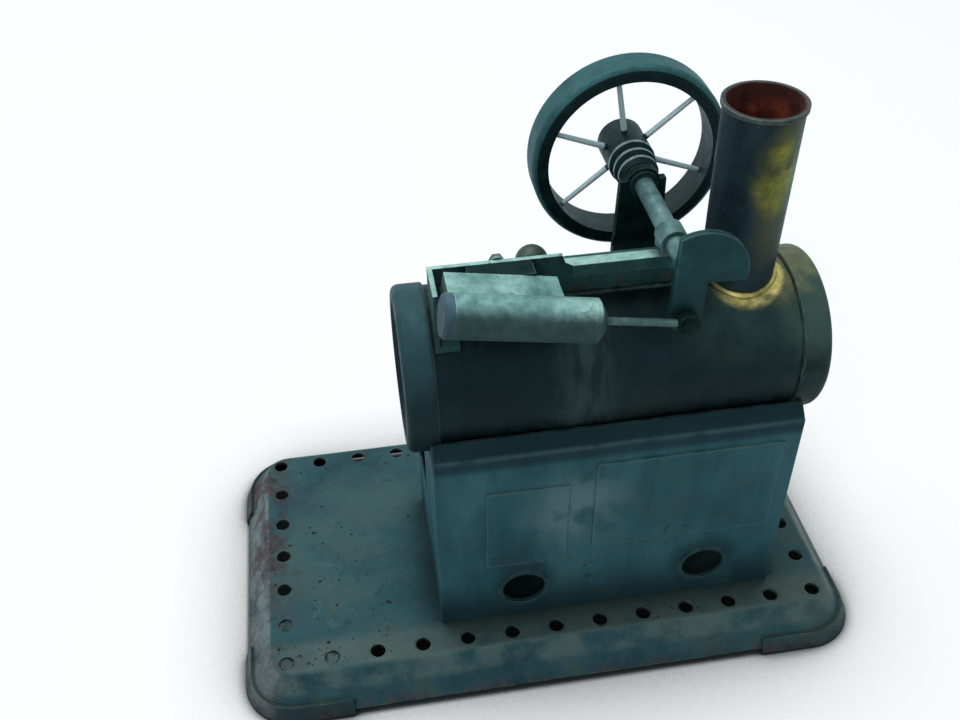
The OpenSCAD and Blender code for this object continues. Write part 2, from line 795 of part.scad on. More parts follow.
// Local frame of the cylinder: +X along its axis to the crank, origin on the pivot's line
module on_cylinder() {
    translate([pivot_x, cyl_axis_y, pivot_z]) rotate([0, cyl_tilt, 0]) children();
}

module along_cylinder(u) {
    on_cylinder() translate([u, 0, 0]) rotate([0, 90, 0]) children();
}

module cylinder_barrel() {
    l = cyl_front + cyl_back - cover_t - gland_l;
    color("#7f8f88") along_cylinder(cover_t - cyl_back) difference() {
        cylinder(r = cyl_r, h = l);
        translate([0, 0, -over]) cylinder(d = cyl_bore, h = l + 2 * over);
    }
}

module cylinder_cover() {
    color("#6d8494") along_cylinder(-cyl_back) {
        cylinder(r1 = cyl_r - cover_t / 4, r2 = cyl_r, h = cover_t / 4);
        translate([0, 0, cover_t / 4]) cylinder(r = cyl_r, h = cover_t * 3 / 4);
    }
}

module cylinder_gland() {
    color("#7f8f88") along_cylinder(cyl_front - gland_l) difference() {
        union() {
            cylinder(r = cyl_r, h = gland_l / 3);
            translate([0, 0, gland_l / 3]) cylinder(r1 = cyl_r, r2 = gland_d / 2, h = gland_l * 2 / 3);
        }
        translate([0, 0, -over]) cylinder(d = rod_d + 2 * run_gap, h = gland_l + 2 * over);
    }
}

module port_block() {
    color("#7f8f88") difference() {
        on_cylinder() translate([-block_back, 0, -block_down])
            cube([block_back + block_front, block_y, block_up + block_down]);
        along_cylinder(-cyl_back - over) cylinder(r = cyl_r + seat_gap / 2, h = cyl_back + cyl_front + 2 * over);
        translate([pivot_x, port_y + over, pivot_z]) rotate([90, 0, 0])
            cylinder(d = pivot_d + seat_gap, h = block_y - cyl_r + over - 2 * port_gap);
    }
}

// The pivot pin is fixed in the port block and turns in the frame
module pivot_pin() {
    back = plate_back_y + port_gap + washer_t + nut_h + pass_gap;
    front = port_y - block_y + cyl_r + 3 * port_gap;
    color("#9aa5a2") translate([pivot_x, back, pivot_z]) rotate([90, 0, 0]) cylinder(d = pivot_d, h = back - front);
}

module pivot_ring(y, r, h, sides = $fn) {
    translate([pivot_x, y + h, pivot_z]) rotate([90, 0, 0]) difference() {
        cylinder(r = r, h = h, $fn = sides);
        translate([0, 0, -over]) cylinder(d = pivot_d + seat_gap, h = h + 2 * over);
    }
}

module pivot_washer() {
    color("#8b8f8c") pivot_ring(plate_back_y + port_gap, washer_d / 2, washer_t);
}

module pivot_nut() {
    color("#8a7c46") pivot_ring(plate_back_y + port_gap + washer_t, nut_d / 2, nut_h, 6);
}

module piston() {
    color("#8a7c46") along_cylinder(piston_u - piston_l / 2)
        cylinder(d = cyl_bore - 2 * run_gap, h = piston_l);
}

module piston_rod() {
    start = piston_u + piston_l / 2;
    color("#b4bdb6") along_cylinder(start) cylinder(d = rod_d, h = rod_reach - eye_d / 2 - start);
}

module rod_eye() {
    color("#a3ada8") on_cylinder() translate([rod_reach, eye_t / 2, 0]) rotate([90, 0, 0]) {
        cylinder(d = eye_d, h = eye_t);
        translate([0, 0, eye_t]) cylinder(d = pin_d, h = eye_head);
    }
}

base_plate();
firebox_front();
firebox_back();
firebox_left_end();
firebox_right_end();
boiler_barrel();
boiler_left_cap();
boiler_right_cap();
chimney_tube();
chimney_lip();
engine_frame();
front_bearing();
rear_bearing();
rear_bush();
steam_block();
safety_valve_body();
safety_valve_cap();
crankshaft();
crank_web();
crank_pin();
flywheel();
drive_pulley();
cylinder_barrel();
cylinder_cover();
cylinder_gland();
port_block();
pivot_pin();
pivot_washer();
pivot_nut();
piston();
piston_rod();
rod_eye();
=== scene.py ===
"""Looks for the toy stationary steam engine: camera, light, materials and small fixed details."""
import json
import math
import random

import bpy
from mathutils import Matrix, Vector, noise


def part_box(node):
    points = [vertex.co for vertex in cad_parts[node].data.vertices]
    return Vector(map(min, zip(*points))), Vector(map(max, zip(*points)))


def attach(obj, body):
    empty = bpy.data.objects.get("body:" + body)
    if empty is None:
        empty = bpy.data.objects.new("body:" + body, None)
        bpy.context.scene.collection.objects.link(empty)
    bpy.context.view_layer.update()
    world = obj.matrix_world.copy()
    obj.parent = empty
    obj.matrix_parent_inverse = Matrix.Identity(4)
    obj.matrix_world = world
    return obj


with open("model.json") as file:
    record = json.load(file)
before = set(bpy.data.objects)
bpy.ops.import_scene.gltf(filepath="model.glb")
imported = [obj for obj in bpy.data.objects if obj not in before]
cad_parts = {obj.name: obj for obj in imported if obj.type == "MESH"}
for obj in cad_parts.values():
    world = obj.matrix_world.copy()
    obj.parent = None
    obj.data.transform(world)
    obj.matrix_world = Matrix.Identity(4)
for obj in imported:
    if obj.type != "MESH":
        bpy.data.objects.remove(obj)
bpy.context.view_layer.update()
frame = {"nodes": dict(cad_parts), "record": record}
nodes = frame["nodes"]

# Places on the engine, in metres. The firebox's are the middles of its four walls' thickness
HOLE_PITCH, HOLES_LONG, HOLES_SHORT = 0.0127, 13, 7
PLATE_TOP = 0.012
FIRE_LEFT, FIRE_RIGHT, FIRE_FRONT, FIRE_BACK = -0.03155, 0.06395, -0.0316, 0.0156
VENT_LEFT, VENT_RIGHT = (-0.0084, -0.032, 0.0233), (0.0434, -0.032, 0.0233)
BOILER_Y, BOILER_Z, BOILER_R = -0.008, 0.0882, 0.0208
CHIMNEY = (0.04945, -0.008, 0.0)
SHAFT = (0.0296, 0.0, 0.1237)

# Camera: the directions of its right, its top and its back, and its place
CAMERA_RIGHT = (0.9873, -0.1587, -0.0123)
CAMERA_UP = (0.1122, 0.6391, 0.7609)
CAMERA_BACK = (-0.1129, -0.7526, 0.6487)
CAMERA_PLACE, LENS_MM, SENSOR_MM = (-0.0474, -0.2156, 0.2671), 40.14, 36
camera = bpy.data.objects.new("camera", bpy.data.cameras.new("camera"))
bpy.context.scene.collection.objects.link(camera)
camera.data.sensor_width = SENSOR_MM
camera.data.lens = LENS_MM
camera.data.clip_start = 0.01
turn = Matrix((CAMERA_RIGHT, CAMERA_UP, CAMERA_BACK)).transposed().to_quaternion().to_matrix().to_4x4()
camera.matrix_world = Matrix.Translation(CAMERA_PLACE) @ turn
bpy.context.scene.camera = camera
bpy.context.scene.view_settings.view_transform = "Standard"

# The old, oily surfaces reflect less red than green and blue
SHEEN_TINT = (0.50, 0.90, 1.0, 1.0)


class Finish:
    """A Principled material that is built from nodes. Values are numbers, colours or other nodes' outputs."""

    def __init__(self, name):
        self.material = bpy.data.materials.new(name)
        self.material.use_nodes = True
        self.tree = self.material.node_tree
        self.tree.nodes.clear()
        self.out = self.tree.nodes.new("ShaderNodeOutputMaterial")
        self.shader = self.tree.nodes.new("ShaderNodeBsdfPrincipled")
        self.tree.links.new(self.shader.outputs[0], self.out.inputs[0])
        where = self.add("ShaderNodeTexCoord")
        self.place = where.outputs["Object"]
        xyz = self.add("ShaderNodeSeparateXYZ", Vector=self.place)
        self.x, self.y, self.z = xyz.outputs[0], xyz.outputs[1], xyz.outputs[2]
        self.geometry = self.add("ShaderNodeNewGeometry")
        facing = self.add("ShaderNodeSeparateXYZ", Vector=where.outputs["Normal"])
        self.side, self.back, self.up = facing.outputs[0], facing.outputs[1], facing.outputs[2]

    def add(self, kind, props=None, **inputs):
        """A new node with its properties and inputs set. An input's name has _ for a space."""
        node = self.tree.nodes.new(kind)
        for key, value in (props or {}).items():
            setattr(node, key, value)
        for key, value in inputs.items():
            self.put(node, key.replace("_", " "), value)
        return node

    def put(self, node, key, value):
        """Links an output to the node's input, or sets the input to a number or a colour."""
        socket = node.inputs[key]
        if isinstance(value, bpy.types.NodeSocket):
            self.tree.links.new(value, socket)
        elif isinstance(value, (tuple, list)) and len(value) == 3 and len(socket.default_value) == 4:
            socket.default_value = (*value, 1)
        else:
            socket.default_value = value

    def maths(self, operation, *values):
        node = self.add("ShaderNodeMath", {"operation": operation})
        for index, value in enumerate(values):
            self.put(node, index, value)
        return node.outputs[0]

    def product(self, *values):
        result = values[0]
        for value in values[1:]:
            result = self.maths("MULTIPLY", result, value)
        return result

    def most(self, *values):
        result = values[0]
        for value in values[1:]:
            result = self.maths("MAXIMUM", result, value)
        return result

    def total(self, *values):
        result = values[0]
        for value in values[1:]:
            result = self.maths("ADD", result, value)
        return result

    def weighed(self, *pairs):
        """The sum of values times their shares."""
        return self.total(*[self.product(value, share) for value, share in pairs])

    def stretched(self, scale):
        """The place, with each axis scaled on its own."""
        return self.add("ShaderNodeMapping", Vector=self.place, Scale=scale).outputs[0]

    def grain(self, scale, detail=4, rough=0.55, warp=0.0, place=None):
        """Noise from 0 to 1, with its scale in features per metre."""
        return self.add("ShaderNodeTexNoise", Vector=place or self.place, Scale=scale, Detail=detail,
                        Roughness=rough, Distortion=warp).outputs["Fac"]

    def step(self, value, low, high, start=0.0, end=1.0):
        """Goes smoothly from start to end as the value goes from low to high."""
        node = self.add("ShaderNodeMapRange", {"interpolation_type": "SMOOTHSTEP"})
        limits = {"Value": value, "From Min": low, "From Max": high, "To Min": start, "To Max": end}
        for key, number in limits.items():
            self.put(node, key, number)
        return node.outputs[0]

    def band(self, value, low, high, soft):
        """1 between low and high, 0 outside."""
        rising = self.step(value, low - soft, low + soft)
        return self.product(rising, self.step(value, high - soft, high + soft, 1, 0))

    def near(self, centre, inner, outer):
        """1 within inner metres of a point, 0 beyond outer metres."""
        return self.step(self.away(centre), inner, outer, 1, 0)

    def away(self, centre, use=(1, 1, 1)):
        """Distance from a point, or from an axis through it where use drops a coordinate."""
        kept = self.add("ShaderNodeVectorMath", {"operation": "MULTIPLY"})
        self.put(kept, 0, self.place)
        self.put(kept, 1, use)
        distance = self.add("ShaderNodeVectorMath", {"operation": "DISTANCE"})
        self.put(distance, 0, kept.outputs[0])
        self.put(distance, 1, [c * u for c, u in zip(centre, use)])
        return distance.outputs["Value"]

    def blend(self, share, first, second):
        """Goes from the first colour to the second as the share goes from 0 to 1."""
        node = self.add("ShaderNodeMix", {"data_type": "RGBA"})
        # Inputs 6 and 7 of this node are its two colours
        for index, value in ((0, share), (6, first), (7, second)):
            self.put(node, index, value)
        return node.outputs[2]

    def number(self, share, first, second):
        """Goes from the first number to the second as the share goes from 0 to 1."""
        node = self.add("ShaderNodeMix", {"data_type": "FLOAT"})
        for index, value in ((0, share), (2, first), (3, second)):
            self.put(node, index, value)
        return node.outputs[0]

    def shades(self, value, *stops):
        """A colour ramp through (position, colour) stops."""
        node = self.add("ShaderNodeValToRGB", Fac=value)
        ramp = node.color_ramp
        while len(ramp.elements) < len(stops):
            ramp.elements.new(0.5)
        for element, (position, colour) in zip(ramp.elements, stops):
            element.position = position
            element.color = (*colour, 1)
        return node.outputs[0]

    def edges(self, radius, low=0.02, high=0.12):
        """1 on sharp edges, 0 on flat faces."""
        soft = self.add("ShaderNodeBevel", {"samples": 6}, Radius=radius)
        dot = self.add("ShaderNodeVectorMath", {"operation": "DOT_PRODUCT"})
        self.put(dot, 0, soft.outputs[0])
        self.put(dot, 1, self.geometry.outputs["True Normal"])
        return self.step(self.maths("SUBTRACT", 1.0, dot.outputs["Value"]), low, high)

    def corners(self, distance, low=0.55, high=0.95):
        """1 in inside corners, where shade falls; colour mixed in by it is painted shade."""
        shade = self.add("ShaderNodeAmbientOcclusion", {"samples": 6}, Distance=distance)
        return self.step(shade.outputs["AO"], low, high, 1, 0)

    def relief(self, height, distance, edge=0.0003):
        """Bump over softly rounded edges."""
        bump = self.add("ShaderNodeBump", Strength=1.0, Distance=distance, Height=height)
        if edge:
            self.put(bump, "Normal", self.add("ShaderNodeBevel", {"samples": 4}, Radius=edge).outputs[0])
        self.tree.links.new(bump.outputs[0], self.shader.inputs["Normal"])

    def inside_firebox(self):
        """1 on the inner faces of the firebox, and on the plate between them."""
        across = self.band(self.x, FIRE_LEFT, FIRE_RIGHT, 0.0001)
        return self.product(across, self.band(self.y, FIRE_FRONT, FIRE_BACK, 0.0001))

    def finish(self, **inputs):
        self.shader.inputs["Specular Tint"].default_value = SHEEN_TINT
        for key, value in inputs.items():
            self.put(self.shader, key.replace("_", " "), value)
        return self.material


# Materials
def base_paint():
    """Mottled dark green enamel on pressed sheet, with rust at the left and worn hole rims."""
    f = Finish("base_paint")
    large, middle, fine = f.grain(38, 5, 0.6, 0.4), f.grain(170, 7, 0.65), f.grain(900, 3)
    cloud = f.weighed((large, 0.5), (middle, 0.38), (fine, 0.12))
    colour = f.shades(cloud, (0.37, (0.005, 0.022, 0.029)), (0.46, (0.011, 0.046, 0.058)),
                      (0.54, (0.019, 0.068, 0.080)), (0.65, (0.036, 0.102, 0.106)))
    # Pale scuffs, mostly at the front left
    left = f.step(f.x, -0.09, 0.03, 1, 0.3)
    front = f.step(f.y, -0.05, 0.04, 1, 0.35)
    scuff = f.product(f.step(f.grain(75, 9, 0.7, 0.8), 0.55, 0.66), left, front)
    colour = f.blend(f.product(scuff, 0.6), colour, (0.075, 0.125, 0.110))
    olive = f.product(f.step(f.grain(36, 5, 0.6, 0.5), 0.47, 0.60), f.step(f.y, -0.05, 0.03, 1, 0.45))
    colour = f.blend(f.product(olive, 0.55), colour, (0.046, 0.068, 0.048))
    streak = f.step(f.grain(1, 5, 0.6, 0, f.stretched((60, 420, 200))), 0.62, 0.72)
    colour = f.blend(f.product(streak, 0.3), colour, (0.055, 0.105, 0.105))
    speckle = f.step(f.grain(430, 5, 0.7), 0.60, 0.67)
    colour = f.blend(f.product(speckle, 0.35), colour, (0.008, 0.022, 0.025))
    # Painted light: the upward faces of the front strip are painted paler, against the shadow that the boiler
    # casts there
    painted_front_light = f.step(f.grain(70, 5, 0.6), 0.30, 0.55, 0.35, 1)
    painted_front_light = f.product(f.step(f.y, -0.030, -0.035), painted_front_light, f.step(f.up, 0.8, 0.95))
    colour = f.blend(f.product(painted_front_light, 0.72), colour, (0.078, 0.108, 0.096))
    # Worn band on the bend between plate and skirt
    bend = f.product(f.band(f.up, 0.35, 0.93, 0.05), f.step(f.z, 0.006, 0.008))
    bend = f.product(bend, f.step(f.grain(110, 6), 0.38, 0.6))
    colour = f.blend(f.product(bend, 0.7), colour, (0.085, 0.135, 0.125))
    # Painted shade: the skirt, whose faces look sideways, is painted darker, most of all towards the left
    skirt_shade = f.product(f.step(f.up, 0.35, 0.65, 1, 0), f.step(f.x, -0.09, 0.03, 0.85, 0.1))
    colour = f.blend(skirt_shade, colour, (0.004, 0.011, 0.013))
    # Painted highlight: the faces turned to the left are painted pale
    pale = f.product(f.step(f.side, -0.25, -0.60), f.step(f.grain(85, 7, 0.68), 0.34, 0.56))
    colour = f.blend(f.product(pale, 0.8), colour, (0.17, 0.22, 0.23))
    # Worn ring round each hole
    ring = f.product(hole_rings(f), f.step(f.grain(300, 5), 0.4, 0.6))
    colour = f.blend(f.product(ring, 0.6), colour, (0.026, 0.040, 0.036))
    # Rust: left edge, lower rim, chips
    side = f.product(f.step(f.x, -0.081, -0.067, 1, 0), f.step(f.y, -0.03, 0.005, 0.45, 1))
    low = f.step(f.z, 0.0005, 0.006, 1, 0)
    chip = f.product(f.step(f.grain(240, 8, 0.7, 0.6), 0.61, 0.67), f.step(f.x, -0.09, 0.02, 1, 0.3))
    side = f.product(side, f.step(f.grain(90, 8, 0.7), 0.42, 0.58))
    low = f.product(low, f.step(middle, 0.42, 0.58))
    rust = f.product(f.most(side, low, f.product(chip, 0.5)), f.step(fine, 0.2, 0.5))
    tone = f.shades(f.grain(420, 5), (0.35, (0.022, 0.014, 0.022)), (0.5, (0.060, 0.032, 0.040)),
                    (0.66, (0.100, 0.052, 0.042)))
    colour = f.blend(f.product(rust, 0.85), colour, tone)
    worn = f.product(f.edges(0.0005), f.step(f.grain(260, 6), 0.42, 0.56))
    colour = f.blend(f.product(worn, 0.7), colour, (0.15, 0.19, 0.17))
    # Painted shade in inside corners and on the plate inside the firebox
    painted_shade = f.most(f.corners(0.010), f.inside_firebox())
    colour = f.blend(f.product(painted_shade, 0.75), colour, (0.006, 0.009, 0.008))
    height = f.weighed((large, 1.0), (middle, 0.35), (rust, 0.25), (fine, 0.05))
    f.relief(height, 0.0006, 0.0004)
    rough = f.number(f.most(rust, painted_shade), f.step(middle, 0.3, 0.7, 0.42, 0.64), 0.85)
    return f.finish(Base_Color=colour, Roughness=rough, Metallic=f.product(worn, 0.6), Specular_IOR_Level=0.3)


def hole_rings(f):
    """1 on a narrow ring round each of the plate's edge holes."""
    squares, outer = [], []
    # Only the outermost rows have holes: beyond 69 mm along x and 31 mm along y
    for axis, count, outer_row in ((f.x, HOLES_LONG, 0.069), (f.y, HOLES_SHORT, 0.031)):
        shifted = f.maths("ADD", axis, HOLE_PITCH * count / 2)
        from_row = f.maths("SUBTRACT", f.maths("MODULO", shifted, HOLE_PITCH), HOLE_PITCH / 2)
        squares.append(f.product(from_row, from_row))
        outer.append(f.step(f.maths("ABSOLUTE", axis), outer_row, outer_row + 0.001))
    from_hole = f.maths("SQRT", f.total(*squares))
    return f.product(f.step(from_hole, 0.0023, 0.0031, 1, 0), f.most(*outer), f.step(f.z, 0.0105, 0.0112))


def firebox_paint():
    """Dull blue-green enamel on sheet, paler where it is rubbed, darker along its bottom, sooty round its
    vents, with painted shade inside, below the boiler and in its corners.
    """
    f = Finish("firebox_paint")
    large, middle, fine = f.grain(30, 5, 0.6, 0.5), f.grain(150, 7, 0.65), f.grain(1100, 3)
    streaky = f.grain(1, 6, 0.6, 0.3, f.stretched((110, 110, 28)))
    cloud = f.weighed((large, 0.4), (middle, 0.25), (streaky, 0.35))
    colour = f.shades(cloud, (0.38, (0.006, 0.034, 0.046)), (0.47, (0.014, 0.068, 0.090)),
                      (0.55, (0.025, 0.100, 0.126)), (0.66, (0.054, 0.152, 0.170)))
    column = f.step(f.grain(1, 5, 0.6, 0.2, f.stretched((75, 75, 9))), 0.46, 0.62)
    colour = f.blend(f.product(column, 0.35), colour, (0.045, 0.135, 0.150))
    # A pale rubbed patch between the panels
    patch = f.near((0.006, -0.032, 0.054), 0.002, 0.020)
    patch = f.product(patch, f.step(f.grain(70, 5, 0.6, 0.4), 0.32, 0.55))
    colour = f.blend(f.product(patch, 0.85), colour, (0.125, 0.225, 0.245))
    bright = f.step(f.grain(420, 6, 0.7), 0.66, 0.72)
    colour = f.blend(f.product(bright, 0.4), colour, (0.085, 0.150, 0.150))
    # The pressed step round each panel is rubbed
    proud = f.step(f.y, -0.0324, -0.0321, 1, 0)
    step_edge = f.product(f.edges(0.0012, 0.01, 0.08), f.step(f.z, 0.030, 0.033), f.step(f.z, 0.0755, 0.0735))
    colour = f.blend(f.product(step_edge, proud, 0.55), colour, (0.090, 0.165, 0.165))
    # Darker along the bottom, soot round the vents, and painted shade below the boiler, in the corners and
    # inside the firebox
    low = f.product(f.step(f.z, 0.0145, 0.033, 1, 0), f.step(f.grain(70, 7, 0.65), 0.3, 0.62, 0.8, 1))
    high = f.product(f.step(f.z, 0.0705, 0.0735), 0.8)
    vents = f.most(f.near(VENT_LEFT, 0.007, 0.014), f.near(VENT_RIGHT, 0.007, 0.014))
    soot = f.most(low, high, f.product(vents, 0.75))
    soot = f.most(soot, f.corners(0.03, 0.25, 0.6), f.inside_firebox())
    colour = f.blend(f.product(soot, 0.9), colour, (0.004, 0.013, 0.016))
    # The shoulder where the wall leans in to the boiler is rubbed
    shoulder = f.product(f.band(f.z, 0.0752, 0.0764, 0.0004), f.step(f.grain(150, 6), 0.3, 0.55))
    colour = f.blend(f.product(shoulder, 0.5), colour, (0.060, 0.120, 0.130))
    rust = f.product(f.step(f.grain(200, 8, 0.7, 0.5), 0.62, 0.68), f.step(f.z, 0.02, 0.06, 1, 0.35))
    tone = f.shades(f.grain(420, 5), (0.35, (0.020, 0.013, 0.014)), (0.62, (0.075, 0.040, 0.030)))
    colour = f.blend(f.product(rust, 0.75), colour, tone)
    worn = f.product(f.edges(0.0006), f.step(f.grain(210, 6), 0.40, 0.58), f.step(f.z, 0.0135, 0.016))
    colour = f.blend(f.product(worn, 0.6), colour, (0.11, 0.18, 0.17))
    height = f.weighed((large, 1.0), (middle, 0.3), (rust, 0.2), (fine, 0.05))
    f.relief(height, 0.0007, 0.0004)
    rough = f.number(f.most(rust, soot), f.step(middle, 0.3, 0.7, 0.45, 0.65), 0.8)
    return f.finish(Base_Color=colour, Roughness=rough, Metallic=f.product(worn, 0.5), Specular_IOR_Level=0.3)


def boiler_brass():
    """Brass that has gone almost black, bare again round the chimney and on the right cap's top."""
    f = Finish("boiler_brass")
    large, middle, fine = f.grain(45, 6, 0.6, 0.5), f.grain(230, 8, 0.68), f.grain(1400, 3)
    rings = f.grain(1, 4, 0.6, 0, f.stretched((900, 24, 24)))
    cloud = f.weighed((large, 0.5), (middle, 0.4), (rings, 0.1))
    black = f.shades(cloud, (0.36, (0.0008, 0.0028, 0.0036)), (0.48, (0.0018, 0.0062, 0.0080)),
                     (0.58, (0.0050, 0.0150, 0.0170)), (0.70, (0.016, 0.038, 0.038)))
    brown = f.product(f.step(f.grain(48, 5, 0.6, 0.3), 0.48, 0.62), f.step(f.x, -0.005, 0.03))
    black = f.blend(f.product(brown, 0.6), black, (0.012, 0.014, 0.010))
    brass = f.shades(middle, (0.35, (0.25, 0.22, 0.07)), (0.5, (0.50, 0.43, 0.14)),
                     (0.66, (0.72, 0.61, 0.26)))
    # Bare metal round the chimney's foot and on the right cap's top, above green tarnish
    foot = f.near((0.0500, -0.0095, 0.108), 0.0098, 0.0118)
    foot = f.product(foot, f.step(f.grain(120, 4, 0.55), 0.26, 0.50), f.step(f.x, 0.040, 0.046))
    ridge = f.product(f.step(f.x, 0.052, 0.060), f.step(f.z, 0.103, 0.108))
    ridge = f.product(ridge, f.step(f.grain(90, 4, 0.55), 0.32, 0.54))
    spots = f.step(f.grain(310, 8, 0.7, 0.4), 0.69, 0.76)
    bare = f.most(f.product(foot, 0.85), f.product(ridge, 0.2), f.product(spots, 0.2))
    tarnish = f.product(f.step(f.x, 0.054, 0.064), f.step(f.z, 0.082, 0.102))
    tarnish = f.product(tarnish, f.step(f.grain(70, 5, 0.6), 0.30, 0.56))
    haze = f.product(f.step(f.x, 0.026, 0.046), f.step(f.z, 0.090, 0.104))
    haze = f.product(haze, f.step(f.grain(55, 5, 0.6), 0.30, 0.58))
    colour = f.blend(f.product(haze, 0.6), black, (0.030, 0.070, 0.062))
    colour = f.blend(f.product(tarnish, 0.7), colour, (0.052, 0.096, 0.078))
    colour = f.blend(bare, colour, brass)
    # Dull teal film on the left cap
    film = f.product(f.step(f.x, -0.029, -0.031), f.step(f.z, 0.086, 0.109))
    film = f.product(film, f.step(f.grain(60, 5, 0.6), 0.25, 0.5, 0.6, 1))
    colour = f.blend(f.product(film, 0.8), colour, (0.026, 0.074, 0.086))
    # Where water ran down the middle of the barrel
    smear = f.band(f.total(f.x, f.product(large, 0.01)), 0.006, 0.019, 0.004)
    smear = f.product(smear, f.step(f.y, -0.006, -0.016))
    smear = f.product(smear, f.step(f.grain(1, 6, 0.6, 0, f.stretched((260, 60, 60))), 0.35, 0.6))
    colour = f.blend(f.product(smear, 0.5), colour, (0.040, 0.075, 0.072))
    worn = f.product(f.edges(0.0006), f.step(f.grain(260, 6), 0.42, 0.58), f.step(f.x, -0.02, 0.05, 0.3, 1))
    colour = f.blend(f.product(worn, 0.5), colour, (0.16, 0.20, 0.16))
    height = f.weighed((middle, 0.5), (fine, 0.1), (rings, 0.15), (large, 0.6))
    f.relief(height, 0.0004, 0.0004)
    rough = f.number(f.most(bare, worn), f.step(middle, 0.3, 0.7, 0.44, 0.68), 0.38)
    metal = f.number(f.most(bare, worn), 0.2, 0.9)
    return f.finish(Base_Color=colour, Roughness=rough, Metallic=metal, Specular_IOR_Level=0.22)


def chimney_metal():
    """A dark tube, olive to the right with a rubbed brass patch, and red-brown inside."""
    f = Finish("chimney_metal")
    large, middle, fine = f.grain(60, 6, 0.6, 0.5), f.grain(260, 8, 0.68), f.grain(1500, 3)
    down = f.grain(1, 6, 0.6, 0.3, f.stretched((240, 240, 38)))
    cloud = f.weighed((large, 0.35), (middle, 0.3), (down, 0.35))
    dark = f.shades(cloud, (0.36, (0.003, 0.006, 0.009)), (0.5, (0.008, 0.017, 0.023)),
                    (0.6, (0.016, 0.033, 0.038)), (0.74, (0.036, 0.060, 0.056)))
    olive = f.shades(cloud, (0.34, (0.018, 0.020, 0.012)), (0.52, (0.050, 0.054, 0.030)),
                     (0.72, (0.105, 0.100, 0.055)))
    right = f.step(f.total(f.x, f.product(large, 0.004)), 0.0485, 0.0545)
    colour = f.blend(f.product(right, f.step(f.z, 0.112, 0.122)), dark, olive)
    brass = f.shades(middle, (0.36, (0.14, 0.15, 0.016)), (0.52, (0.32, 0.32, 0.026)),
                     (0.68, (0.50, 0.47, 0.055)))
    # The brass patch is taller than it is wide
    tall = f.maths("MULTIPLY", f.away((0, 0, 0.1405), (0, 0, 1)), 0.62)
    wide = f.away((0.0525, -0.0168, 0), (1, 1, 0))
    from_patch = f.maths("SQRT", f.total(f.product(tall, tall), f.product(wide, wide)))
    patch = f.step(from_patch, 0.0010, 0.0088, 1, 0)
    patch = f.product(patch, f.step(f.grain(80, 3, 0.5), 0.25, 0.58))
    spots = f.product(f.step(f.grain(280, 8, 0.7, 0.4), 0.66, 0.74), 0.35)
    bare = f.most(patch, spots)
    colour = f.blend(f.product(bare, 0.85), colour, brass)
    # Inside: the distance from the tube's axis is under the inner radius, which grows with height
    widen = f.maths("MULTIPLY", f.maths("SUBTRACT", f.z, BOILER_Z), 0.0097)
    inside = f.step(f.maths("SUBTRACT", f.away(CHIMNEY, (1, 1, 0)), widen), 0.0084, 0.0086, 1, 0)
    soot = f.shades(f.grain(200, 6), (0.36, (0.050, 0.008, 0.005)), (0.5, (0.130, 0.022, 0.012)),
                    (0.65, (0.240, 0.050, 0.026)))
    rim = f.product(f.step(f.z, 0.1475, 0.1545), 0.7)
    soot = f.blend(rim, soot, (0.022, 0.012, 0.010))
    colour = f.blend(inside, colour, soot)
    worn = f.product(f.edges(0.0005), f.step(f.grain(260, 6), 0.42, 0.58))
    colour = f.blend(f.product(worn, 0.5), colour, (0.20, 0.20, 0.15))
    f.relief(f.weighed((large, 0.9), (middle, 0.4), (fine, 0.1)), 0.0004, 0.0003)
    rough = f.number(inside, f.number(bare, f.step(middle, 0.3, 0.7, 0.42, 0.64), 0.38), 0.9)
    metal = f.product(f.number(bare, 0.3, 0.9), f.maths("SUBTRACT", 1.0, inside))
    return f.finish(Base_Color=colour, Roughness=rough, Metallic=metal, Specular_IOR_Level=0.3)


